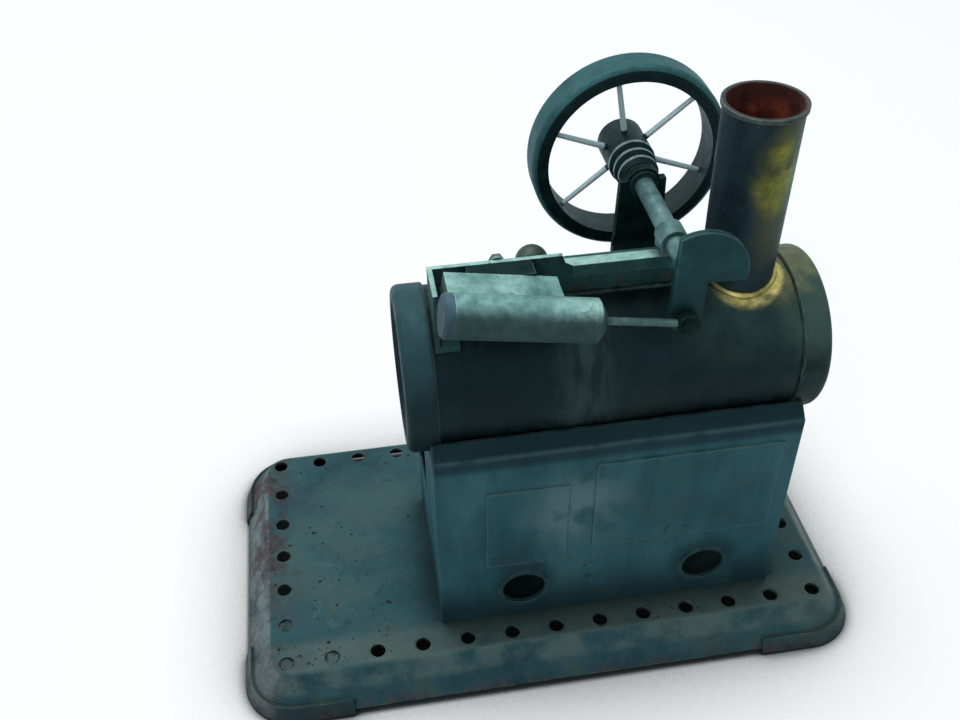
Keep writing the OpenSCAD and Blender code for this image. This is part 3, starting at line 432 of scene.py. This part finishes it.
def frame_paint(name, painted_top_highlight, shade=1.0):
    """Chipped dark green enamel, rusty below the shelf and worn on its edges.

    Where asked, the top gets a painted highlight. A shade below 1 gives a darker, shaded copy for pieces that
    lie in shade: painted shade.
    """
    f = Finish(name)
    large, middle, fine = f.grain(70, 6, 0.6, 0.4), f.grain(300, 8, 0.68), f.grain(1500, 3)
    greens = ((0.36, (0.003, 0.020, 0.018)), (0.5, (0.008, 0.046, 0.040)), (0.62, (0.016, 0.080, 0.066)),
              (0.74, (0.034, 0.12, 0.10)))
    # A shade below 1 darkens the greens: painted shade, a shaded copy of the paint
    greens = [(stop, tuple(c * shade for c in green)) for stop, green in greens]
    colour = f.shades(f.weighed((large, 0.5), (middle, 0.5)), *greens)
    rust = f.product(f.step(f.grain(210, 8, 0.7, 0.5), 0.50, 0.62), f.step(f.z, 0.112, 0.119, 1, 0.2))
    tone = f.shades(f.grain(500, 5), (0.35, (0.022, 0.013, 0.014)), (0.5, (0.055, 0.032, 0.028)),
                    (0.66, (0.11, 0.062, 0.045)))
    colour = f.blend(f.product(rust, 0.7 * shade ** 2), colour, tone)
    worn = f.product(f.edges(0.0005), f.step(f.grain(330, 6), 0.40, 0.56))
    worn = f.product(worn, f.step(f.z, 0.1185, 0.1200, 0.1, 0.6 * shade))
    if painted_top_highlight:
        # Painted highlight on the flat top faces that look up, joined to the worn edges
        flat = f.most(f.step(f.x, 0.0040, 0.0034), f.step(f.y, -0.0121, -0.0126))
        top = f.product(f.step(f.up, 0.85, 0.96), f.step(f.z, 0.1195, 0.1202), flat)
        top = f.product(top, f.step(f.grain(190, 7, 0.65), 0.28, 0.44))
        worn = f.most(worn, f.product(top, 0.95))
    metal = f.shades(middle, (0.36, (0.21, 0.38, 0.35)), (0.6, (0.36, 0.58, 0.53)))
    colour = f.blend(worn, colour, metal)
    # Painted shade in inside corners
    painted_shade = f.corners(0.004)
    colour = f.blend(f.product(painted_shade, 0.7), colour, (0.004, 0.010, 0.009))
    f.relief(f.weighed((large, 0.5), (middle, 0.5), (fine, 0.1)), 0.0004, 0.0003)
    rough = f.number(rust, f.number(worn, f.step(middle, 0.3, 0.7, 0.42, 0.58), 0.42), 0.85)
    gloss = 0.3 if shade == 1.0 else 0.06
    return f.finish(Base_Color=colour, Roughness=rough, Metallic=f.product(worn, 0.5),
                    Specular_IOR_Level=gloss)


def bare_metal(name, tones, rough, spots, metal, warm=(0.10, 0.055, 0.03), shade_below=0.0, oily=False):
    """Old bare metal: painted shade in its corners and below, brighter on its edges, with stains.

    The tones are its dark, middle and light colours, rough is its lowest and highest roughness, spots says
    how much the stains cover, and metal how metallic it is. The next to last argument adds painted shade
    on the sides and undersides, and oily a black front end.
    """
    f = Finish(name)
    large, middle, fine = f.grain(110, 6, 0.6, 0.4), f.grain(420, 8, 0.68), f.grain(2200, 3)
    colour = f.shades(f.weighed((large, 0.55), (middle, 0.45)), *zip((0.36, 0.52, 0.66), tones))
    stain = f.product(f.step(f.grain(170, 7, 0.68, 0.6), 0.55, 0.66), spots)
    colour = f.blend(stain, colour, warm)
    worn = f.product(f.edges(0.0004), f.step(f.grain(380, 5), 0.36, 0.54))
    colour = f.blend(f.product(worn, 0.6), colour, tuple(min(1, 1.4 * c + 0.03) for c in tones[2]))
    # Painted shade in inside corners; the underside shade and the oily front end join it below
    shade_and_oil = f.corners(0.0035, 0.5, 0.92)
    if shade_below:
        # Painted shade on the sides and the underside, the faces that look down
        underside_shade = f.step(f.total(f.up, f.product(large, 0.45)), 0.70, 1.25, 1, 0)
        shade_and_oil = f.most(shade_and_oil, f.product(underside_shade, shade_below))
    if oily:
        # The front end, by the crank, is black with oil
        shade_and_oil = f.most(shade_and_oil, f.product(f.step(f.y, -0.0235, -0.0265), 0.85))
    colour = f.blend(f.product(shade_and_oil, 0.85), colour, (0.006, 0.018, 0.018))
    f.relief(f.weighed((large, 0.4), (middle, 0.4), (fine, 0.15)), 0.0003, 0.0003)
    dull = f.most(stain, shade_and_oil)
    rough = f.number(dull, f.step(middle, 0.3, 0.7, *rough), 0.66)
    return f.finish(Base_Color=colour, Roughness=rough, Metallic=f.number(dull, metal, 0.15),
                    Specular_IOR_Level=0.35)


def wheel_iron():
    """The flywheel: a rubbed teal-grey tread, spokes painted pale as painted light near the backdrop's white,
    and a nearly black hub and faces.
    """
    f = Finish("wheel_iron")
    large, middle, fine = f.grain(90, 6, 0.6, 0.4), f.grain(360, 8, 0.68), f.grain(1800, 3)
    cloud = f.weighed((large, 0.55), (middle, 0.45))
    colour = f.shades(cloud, (0.36, (0.002, 0.007, 0.008)), (0.52, (0.005, 0.015, 0.016)),
                      (0.68, (0.014, 0.032, 0.033)))
    from_axis = f.away(SHAFT, (1, 0, 1))
    facing = f.maths("ABSOLUTE", f.back)
    tread = f.product(f.step(from_axis, 0.0244, 0.0249), f.step(facing, 0.985, 0.90))
    rubbed = f.shades(cloud, (0.36, (0.012, 0.046, 0.052)), (0.52, (0.026, 0.092, 0.100)),
                      (0.68, (0.056, 0.150, 0.155)))
    colour = f.blend(tread, colour, rubbed)
    # Painted light: the spokes are painted pale, close to the white backdrop behind them
    spoke_light = f.product(f.step(from_axis, 0.0066, 0.0072), f.step(from_axis, 0.0222, 0.0216))
    colour = f.blend(f.product(spoke_light, 0.95), colour, (0.52, 0.68, 0.72))
    # The rim's inner face is dusty
    inner = f.band(from_axis, 0.0218, 0.0226, 0.0002)
    colour = f.blend(f.product(inner, f.step(facing, 0.6, 0.3), 0.5), colour, (0.040, 0.050, 0.045))
    rust = f.step(f.grain(240, 8, 0.7, 0.5), 0.62, 0.69)
    colour = f.blend(f.product(rust, 0.6), colour, (0.050, 0.030, 0.022))
    f.relief(f.weighed((large, 0.5), (middle, 0.4), (fine, 0.1)), 0.0004, 0.0003)
    rough = f.number(rust, f.step(middle, 0.3, 0.7, 0.44, 0.62), 0.8)
    return f.finish(Base_Color=colour, Roughness=rough, Metallic=0.3, Specular_IOR_Level=0.3)


def pulley_iron():
    """The grooved pulley: bright flange tops between black grooves."""
    f = Finish("pulley_iron")
    middle, fine = f.grain(420, 8, 0.68), f.grain(2200, 3)
    from_axis = f.away(SHAFT, (1, 0, 1))
    facing = f.maths("ABSOLUTE", f.back)
    tops = f.product(f.step(from_axis, 0.0049, 0.0052), f.step(facing, 0.9, 0.5))
    colour = f.shades(middle, (0.36, (0.004, 0.010, 0.011)), (0.6, (0.012, 0.026, 0.028)))
    bright = f.shades(middle, (0.36, (0.16, 0.24, 0.23)), (0.6, (0.32, 0.42, 0.40)))
    colour = f.blend(f.product(tops, 0.9), colour, bright)
    f.relief(f.weighed((middle, 0.4), (fine, 0.15)), 0.0003, 0.0002)
    return f.finish(Base_Color=colour, Roughness=f.number(tops, 0.62, 0.4), Metallic=f.number(tops, 0.2, 0.7),
                    Specular_IOR_Level=0.3)


def crank_iron():
    """The crank: dull teal face with a thin pale line along its upper edge, both wear and a painted
    highlight, and painted shade in its corners.
    """
    f = Finish("crank_iron")
    large, middle, fine = f.grain(110, 6, 0.6, 0.4), f.grain(420, 8, 0.68), f.grain(2200, 3)
    cloud = f.weighed((large, 0.55), (middle, 0.45))
    colour = f.shades(cloud, (0.36, (0.003, 0.020, 0.022)), (0.52, (0.007, 0.044, 0.048)),
                      (0.68, (0.018, 0.078, 0.080)))
    # The arm is darker than the disc
    arm = f.step(f.z, 0.118, 0.1215, 1, 0)
    colour = f.blend(f.product(arm, 0.6), colour, (0.005, 0.020, 0.018))
    # Pale line along the edges, kept to the upper ones: edge wear and a painted highlight
    worn = f.product(f.edges(0.0007), f.step(f.grain(300, 5), 0.34, 0.5), f.step(f.z, 0.120, 0.125))
    colour = f.blend(f.product(worn, 0.6), colour, (0.14, 0.22, 0.21))
    # Painted shade in inside corners
    shade_and_oil = f.corners(0.003, 0.5, 0.92)
    colour = f.blend(f.product(shade_and_oil, 0.7), colour, (0.004, 0.010, 0.009))
    f.relief(f.weighed((large, 0.4), (middle, 0.4), (fine, 0.15)), 0.0003, 0.0003)
    return f.finish(Base_Color=colour, Roughness=f.step(middle, 0.3, 0.7, 0.45, 0.62), Metallic=0.25,
                    Specular_IOR_Level=0.3)


def solder():
    """Dull grey-brown solder and grease in the joints."""
    f = Finish("solder")
    middle, fine = f.grain(500, 7, 0.68), f.grain(2200, 3)
    colour = f.shades(middle, (0.36, (0.006, 0.012, 0.012)), (0.52, (0.022, 0.036, 0.034)),
                      (0.68, (0.070, 0.085, 0.070)))
    f.relief(f.weighed((middle, 0.6), (fine, 0.2)), 0.0004, 0)
    return f.finish(Base_Color=colour, Roughness=f.step(middle, 0.3, 0.7, 0.4, 0.65), Metallic=0.3,
                    Specular_IOR_Level=0.35)


def scab_rust():
    """Dark brown rust and crumbling dirt."""
    f = Finish("scab_rust")
    middle, fine = f.grain(700, 7, 0.7), f.grain(2600, 3)
    colour = f.shades(middle, (0.36, (0.008, 0.009, 0.010)), (0.5, (0.022, 0.018, 0.018)),
                      (0.66, (0.048, 0.034, 0.026)))
    f.relief(f.weighed((middle, 0.7), (fine, 0.3)), 0.0003, 0)
    return f.finish(Base_Color=colour, Roughness=0.9, Specular_IOR_Level=0.25)


# Tones of the bare metals, each from dark to light
LIP = (0.022, 0.028, 0.026), (0.055, 0.066, 0.060), (0.13, 0.14, 0.12)
BUSH = (0.020, 0.030, 0.026), (0.062, 0.080, 0.066), (0.16, 0.17, 0.12)
BRIGHT = (0.052, 0.112, 0.112), (0.105, 0.205, 0.205), (0.200, 0.330, 0.320)
PLATED = (0.085, 0.200, 0.185), (0.195, 0.375, 0.345), (0.350, 0.560, 0.520)
OILY = (0.050, 0.105, 0.105), (0.095, 0.180, 0.180), (0.165, 0.275, 0.270)
COVER = (0.040, 0.085, 0.120), (0.070, 0.125, 0.170), (0.120, 0.190, 0.240)
ROD = (0.034, 0.070, 0.064), (0.068, 0.125, 0.115), (0.130, 0.215, 0.195)
BLACK = (0.003, 0.012, 0.012), (0.007, 0.022, 0.022), (0.016, 0.040, 0.038)

MATERIALS = {
    "base_paint": base_paint(),
    "firebox_paint": firebox_paint(),
    "boiler_brass": boiler_brass(),
    "chimney_metal": chimney_metal(),
    "lip_metal": bare_metal("lip_metal", LIP, (0.42, 0.62), 0.66, 0.5, warm=(0.09, 0.035, 0.022)),
    "frame_paint": frame_paint("frame_paint", True),
    "bush_brass": bare_metal("bush_brass", BUSH, (0.38, 0.58), 0.55, 0.6),
    "wheel_metal": wheel_iron(),
    "bright_steel": bare_metal("bright_steel", BRIGHT, (0.30, 0.48), 0.264, 0.6, oily=True),
    # The cylinder gets painted shade on its sides and underside
    "cylinder_metal": bare_metal("cylinder_metal", PLATED, (0.42, 0.60), 0.484, 0.3,
                                 warm=(0.060, 0.100, 0.085), shade_below=1.0),
}
# Pieces that look different from the rest of their slot
PIECE_MATERIALS = {
    "front_bearing": bare_metal("oily_steel", OILY, (0.34, 0.52), 0.22, 0.5),
    # The cover gets painted shade on its sides and underside
    "cylinder_cover": bare_metal("cover_steel", COVER, (0.42, 0.60), 0.33, 0.3,
                                 warm=(0.05, 0.06, 0.05), shade_below=0.6),
    "piston_rod": bare_metal("rod_steel", ROD, (0.30, 0.48), 0.22, 0.6),
    "rear_bush": bare_metal("dark_steel", BLACK, (0.50, 0.66), 0.22, 0.2),
    # Darker, shaded copies of the frame's paint for pieces that lie in shade: painted shade
    "steam_block": frame_paint("steam_block_shaded_paint", False, 0.5),
    "rear_bearing": frame_paint("bearing_shaded_paint", False, 0.35),
    "rod_eye": frame_paint("eye_shaded_paint", False, 0.4),
    "drive_pulley": pulley_iron(),
    "crank_web": crank_iron(),
}
for part in frame["record"]["subparts"]:
    node = nodes[part["node"]]
    node.data.materials.clear()
    node.data.materials.append(PIECE_MATERIALS.get(part["node"], MATERIALS[part["material_slot"]]))

# Small detail pieces, and the solder's sides, unevenness and lumps per metre
BEAD_SIDES, BEAD_LUMPS, LUMPS_PER_METRE = 8, 0.3, 260.0


def piece(name, verts, faces, material):
    """A smooth mesh that is fixed to the engine's body."""
    mesh = bpy.data.meshes.new(name)
    mesh.from_pydata(verts, [], faces)
    mesh.polygons.foreach_set("use_smooth", [True] * len(mesh.polygons))
    mesh.materials.append(material)
    item = bpy.data.objects.new(name, mesh)
    bpy.context.scene.collection.objects.link(item)
    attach(item, "engine_body")


def bead(name, points, radius, material, closed=False):
    """A lumpy run of solder along a line of points. An open run tapers at its ends."""
    verts, faces = [], []
    count = len(points)
    for i, point in enumerate(points):
        before = points[i - 1] if i or closed else points[0]
        after = points[(i + 1) % count] if i < count - 1 or closed else points[-1]
        along = (after - before).normalized()
        steep = abs(along.z) > 0.95
        across = (along.orthogonal() if steep else along.cross(Vector((0, 0, 1)))).normalized()
        upward = across.cross(along)
        taper = 1.0 if closed else min(1.0, 0.25 + 0.75 * min(i, count - 1 - i) / 3)
        for k in range(BEAD_SIDES):
            angle = 2 * math.pi * k / BEAD_SIDES
            way = across * math.cos(angle) + upward * math.sin(angle)
            lump = 1 + BEAD_LUMPS * noise.noise((point + way * radius) * LUMPS_PER_METRE)
            verts.append(point + way * radius * taper * lump)
    for i in range(count if closed else count - 1):
        for k in range(BEAD_SIDES):
            a, b = i * BEAD_SIDES + k, i * BEAD_SIDES + (k + 1) % BEAD_SIDES
            total = count * BEAD_SIDES
            faces.append((a, b, (b + BEAD_SIDES) % total, (a + BEAD_SIDES) % total))
    if not closed:
        faces.append(tuple(range(BEAD_SIDES))[::-1])
        faces.append(tuple(range((count - 1) * BEAD_SIDES, count * BEAD_SIDES)))
    piece(name, verts, faces, material)


def turns(count):
    """Angles of this many equal steps round a circle."""
    return [2 * math.pi * i / count for i in range(count)]


def boiler_height(y):
    """Height of the boiler's skin at this place across it."""
    return BOILER_Z + math.sqrt(BOILER_R ** 2 - (y - BOILER_Y) ** 2)


def ring_on_boiler(x, y, radius, lift):
    """Where an upright tube of this radius meets the boiler."""
    flat = [(x + radius * math.cos(angle), y + radius * math.sin(angle)) for angle in turns(72)]
    return [Vector((px, py, boiler_height(py) + lift)) for px, py in flat]


def ring_round_boiler(x, radius):
    """A circle round the boiler's axis."""
    return [Vector((x, BOILER_Y + radius * math.sin(angle), BOILER_Z + radius * math.cos(angle)))
            for angle in turns(120)]


def straight(x0, x1, y, z, count):
    """Evenly spaced points on a line along x."""
    return [Vector((x0 + (x1 - x0) * i / (count - 1), y, z)) for i in range(count)]


def line_on_boiler(x0, x1, y):
    """Points on a line along x that lies just above the boiler's skin."""
    return straight(x0, x1, y, boiler_height(y) + 0.0001, 48)


SOLDER, RUST = solder(), scab_rust()
valve_low, valve_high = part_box("safety_valve_body")
frame_low, frame_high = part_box("engine_frame")
rear_low, rear_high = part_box("rear_bearing")
valve_x, valve_y = (valve_low[0] + valve_high[0]) / 2, (valve_low[1] + valve_high[1]) / 2
left_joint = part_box("boiler_left_cap")[1][0] + 0.0001
right_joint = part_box("boiler_right_cap")[0][0] - 0.0001
bead("chimney_solder", ring_on_boiler(CHIMNEY[0], CHIMNEY[1], 0.0092, 0.0002), 0.0008,
     MATERIALS["boiler_brass"], closed=True)
bead("valve_solder", ring_on_boiler(valve_x, valve_y, 0.0043, 0.0001), 0.0006, SOLDER, closed=True)
bead("left_cap_solder", ring_round_boiler(left_joint, BOILER_R + 0.0003), 0.00035, SOLDER, closed=True)
bead("right_cap_solder", ring_round_boiler(right_joint, BOILER_R + 0.0003), 0.00035, SOLDER, closed=True)
frame_start, frame_end = frame_low[0], frame_high[0] - 0.0005
bead("frame_solder_front", line_on_boiler(frame_start + 0.002, frame_end, -0.0114), 0.0007, SOLDER)
bead("frame_solder_back", line_on_boiler(frame_start + 0.0005, frame_end, -0.0098), 0.0007, SOLDER)
foot_line = straight(rear_low[0], rear_high[0], BOILER_Y + BOILER_R + 0.0006, BOILER_Z - 0.0004, 24)
bead("bearing_solder_back", foot_line, 0.0009, SOLDER)


def grime_plug(name, x, y, seed):
    """Dried grime that fills one of the plate's holes."""
    rings, sides, radius, top, bottom = 4, 20, 0.00206, PLATE_TOP - 0.0004, PLATE_TOP - 0.0012
    verts, faces = [Vector((x, y, top))], []
    for r in range(1, rings + 1):
        away = radius * r / rings
        for angle in turns(sides):
            place = Vector((x + away * math.cos(angle), y + away * math.sin(angle), top))
            dip = 0.0005 * noise.noise(place * 900 + Vector((seed, 0, 0)))
            verts.append(place + Vector((0, 0, dip)))
    base = len(verts)
    for angle in turns(sides):
        verts.append(Vector((x + radius * math.cos(angle), y + radius * math.sin(angle), bottom)))
    for k in range(sides):
        n = (k + 1) % sides
        faces.append((0, 1 + k, 1 + n))
        for r in range(rings - 1):
            a, b = 1 + r * sides, 1 + (r + 1) * sides
            faces.append((a + k, b + k, b + n, a + n))
        last = 1 + (rings - 1) * sides
        faces.append((last + k, base + k, base + n, last + n))
    faces.append(tuple(range(base, base + sides))[::-1])
    piece(name, verts, faces, MATERIALS["base_paint"])


# The three holes at the front left corner, counted in pitches from the plate's middle
for number, (i, j) in enumerate(((-6, -3), (-5, -3), (-6, -2))):
    grime_plug(f"hole_grime_{number + 1}", i * HOLE_PITCH, j * HOLE_PITCH, number * 7.3)

# Half the plate's flat in x and y, where its corners begin to round, and what the flakes keep clear of
FLAT_X, FLAT_Y, ROUND_X, ROUND_Y, ROUND_R = 0.0790, 0.0402, 0.0745, 0.0357, 0.0045
CLEAR_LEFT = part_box("firebox_left_end")[0][0] - 0.002
CLEAR_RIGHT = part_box("firebox_right_end")[1][0] + 0.002
CLEAR_FRONT, CLEAR_BACK, CLEAR_HOLE = -0.034, 0.018, 0.0023
FLAKE_SIDES = 9


def place_is_free(x, y, size):
    """Whether a flake may lie here: clear of the firebox, the holes and the plate's round corners."""
    by_firebox = CLEAR_LEFT < x < CLEAR_RIGHT and CLEAR_FRONT < y < CLEAR_BACK
    hole_x, hole_y = x - HOLE_PITCH * round(x / HOLE_PITCH), y - HOLE_PITCH * round(y / HOLE_PITCH)
    on_hole = math.hypot(hole_x, hole_y) < CLEAR_HOLE + size and (abs(x) > 0.068 or abs(y) > 0.030)
    past_corner = math.hypot(max(0.0, abs(x) - ROUND_X), max(0.0, abs(y) - ROUND_Y)) > ROUND_R
    return not (by_firebox or on_hole or past_corner)


def scabs(name, count, seed):
    """Flat flakes of rust and dirt scattered over the plate, thickest at its left and front edges."""
    draw = random.Random(seed)
    verts, faces = [], []
    made = 0
    while made < count:
        x = -FLAT_X + 2 * FLAT_X * draw.random() ** 1.8
        y = -FLAT_Y + 2 * FLAT_Y * draw.random() ** 1.3
        size = 0.0002 + 0.0006 * draw.random() ** 3
        if not place_is_free(x, y, size):
            continue
        made += 1
        start = len(verts)
        stretch, turn_by = 0.6 + 0.8 * draw.random(), draw.random() * math.pi
        rise = 0.00006 + 0.00010 * draw.random()
        levels = ((PLATE_TOP - 0.00004, 1.0), (PLATE_TOP + rise * 0.7, 0.86), (PLATE_TOP + rise, 0.45))
        for level, share in levels:
            for angle in turns(FLAKE_SIDES):
                ragged = Vector((x * 3000 + 3 * math.cos(angle), y * 3000 + 3 * math.sin(angle), seed))
                reach = size * share * (0.75 + 0.5 * noise.noise(ragged))
                u, v = reach * math.cos(angle), reach * stretch * math.sin(angle)
                verts.append(Vector((x + u * math.cos(turn_by) - v * math.sin(turn_by),
                                     y + u * math.sin(turn_by) + v * math.cos(turn_by), level)))
        for level in range(2):
            for k in range(FLAKE_SIDES):
                a = start + level * FLAKE_SIDES + k
                b = start + level * FLAKE_SIDES + (k + 1) % FLAKE_SIDES
                faces.append((a, b, b + FLAKE_SIDES, a + FLAKE_SIDES))
        faces.append(tuple(range(start, start + FLAKE_SIDES))[::-1])
        faces.append(tuple(range(start + 2 * FLAKE_SIDES, start + 3 * FLAKE_SIDES)))
    piece(name, verts, faces, RUST)


scabs("plate_scabs", 110, 5)

# Floor and light
SEEN_RAYS = ("Is Camera Ray", "Is Glossy Ray", "Is Transmission Ray")
FLOOR_HALF, SKY_LIGHT = 3.0, 0.32


def pale_floor(colour, seen):
    """A floor that takes shadows, and looks white to the camera and in reflections, away from the engine.
    Near the engine that white is darkened by a painted shadow, and below the base the floor is painted dark.
    """
    f = Finish("pale_floor")
    rays = f.add("ShaderNodeLightPath")
    direct = f.most(*[rays.outputs[kind] for kind in SEEN_RAYS])
    wide = f.add("ShaderNodeAmbientOcclusion", {"samples": 12}, Distance=0.12).outputs["AO"]
    close = f.add("ShaderNodeAmbientOcclusion", {"samples": 8}, Distance=0.03).outputs["AO"]
    # Below the base the floor is painted dark, a painted shadow, so that no light shows through the holes
    shade_below = f.step(close, 0.64, 0.99, 0.02, 1)
    # Painted soft shadow: the floor's white darkens near the engine
    shade = f.product(f.step(wide, 0.15, 0.95, 0.10, 1), shade_below)
    glow = f.add("ShaderNodeEmission", Color=(*seen, 1), Strength=f.product(direct, shade))
    both = f.add("ShaderNodeAddShader")
    f.tree.links.new(f.shader.outputs[0], both.inputs[0])
    f.tree.links.new(glow.outputs[0], both.inputs[1])
    f.tree.links.new(both.outputs[0], f.out.inputs[0])
    # Painted shade: the floor's own colour is painted nearly black below the base
    return f.finish(Base_Color=f.blend(shade_below, (0.01, 0.012, 0.012), colour), Roughness=0.9)


floor_mesh = bpy.data.meshes.new("floor")
corners = [(FLOOR_HALF * i, FLOOR_HALF * j, 0) for i, j in ((-1, -1), (1, -1), (1, 1), (-1, 1))]
floor_mesh.from_pydata(corners, [], [(0, 1, 2, 3)])
floor = bpy.data.objects.new("floor", floor_mesh)
bpy.context.scene.collection.objects.link(floor)
floor_mesh.materials.append(pale_floor((0.30, 0.31, 0.32), (0.70, 0.71, 0.71)))

# The sky lights the engine softly, and is white where it is seen
world = bpy.data.worlds.new("world")
world.use_nodes = True
bpy.context.scene.world = world
tree = world.node_tree
sky = tree.nodes["Background"]
sky.inputs["Color"].default_value = (0.92, 0.97, 1.0, 1)
sky_rays = tree.nodes.new("ShaderNodeLightPath")
seen = sky_rays.outputs[SEEN_RAYS[0]]
for kind in SEEN_RAYS[1:]:
    either = tree.nodes.new("ShaderNodeMath")
    either.operation = "MAXIMUM"
    tree.links.new(seen, either.inputs[0])
    tree.links.new(sky_rays.outputs[kind], either.inputs[1])
    seen = either.outputs[0]
sky_level = tree.nodes.new("ShaderNodeMapRange")
sky_level.inputs["To Min"].default_value = SKY_LIGHT
sky_level.inputs["To Max"].default_value = 1.0
tree.links.new(seen, sky_level.inputs["Value"])
tree.links.new(sky_level.outputs[0], sky.inputs["Strength"])


def lamp(name, place, size, watts, colour):
    """A square lamp that points at the boiler."""
    light = bpy.data.lights.new(name, "AREA")
    light.shape = "RECTANGLE"
    light.size, light.size_y = size, size
    light.energy = watts
    light.color = colour
    item = bpy.data.objects.new(name, light)
    bpy.context.scene.collection.objects.link(item)
    item.location = place
    item.rotation_euler = (Vector((0, 0, 0.08)) - Vector(place)).to_track_quat("-Z", "Y").to_euler()


lamp("top_light", (-0.15, 0.25, 1.0), 0.7, 6.5, (1.0, 1.0, 0.98))
lamp("front_light", (-0.5, -0.9, 0.7), 0.6, 3.5, (0.96, 0.98, 1.0))
